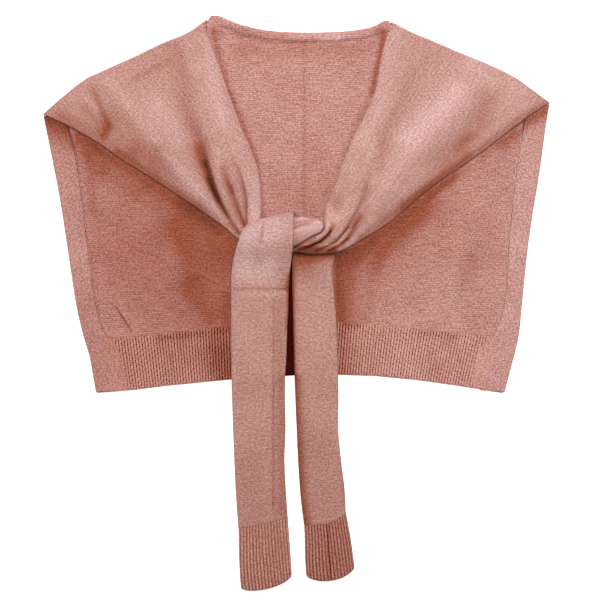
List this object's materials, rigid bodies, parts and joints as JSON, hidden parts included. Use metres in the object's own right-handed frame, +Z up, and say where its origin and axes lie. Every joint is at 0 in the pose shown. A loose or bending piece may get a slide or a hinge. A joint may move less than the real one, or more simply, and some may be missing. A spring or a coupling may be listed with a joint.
{
  "type": "knitted shoulder wrap",
  "caption": "Knitted shoulder wrap laid flat, its fronts folded over and crossed in a half knot, with hanging tube ties, ribbed cuffs and a ribbed hem.",
  "frame": {"origin": "middle of the laid-out wrap's outline, on the surface it lies on", "axes": "+Z up from the surface, +Y from the ties' cuffs towards the neck, +X to the viewer's right"},
  "size_m": [0.608, 0.6906, 0.025],
  "materials": {
    "panel_knit": "matt fine knit, wrong side",
    "rib_knit": "matt 1x1 rib",
    "band_knit": "matt fine knit, right side",
    "front_knit": "matt fine knit, right side",
    "tie_knit": "matt fine knit, right side",
    "cuff_knit": "matt 1x1 rib"
  },
  "bodies": {
    "root": {"back_panel": "panel_knit", "hem_rib": "rib_knit", "side_band_left": "band_knit", "side_band_right": "band_knit", "front_left": "front_knit", "front_right": "front_knit", "tie_left": "tie_knit", "tie_right": "tie_knit", "cuff_left": "cuff_knit", "cuff_right": "cuff_knit"}
  },
  "joints": []
}
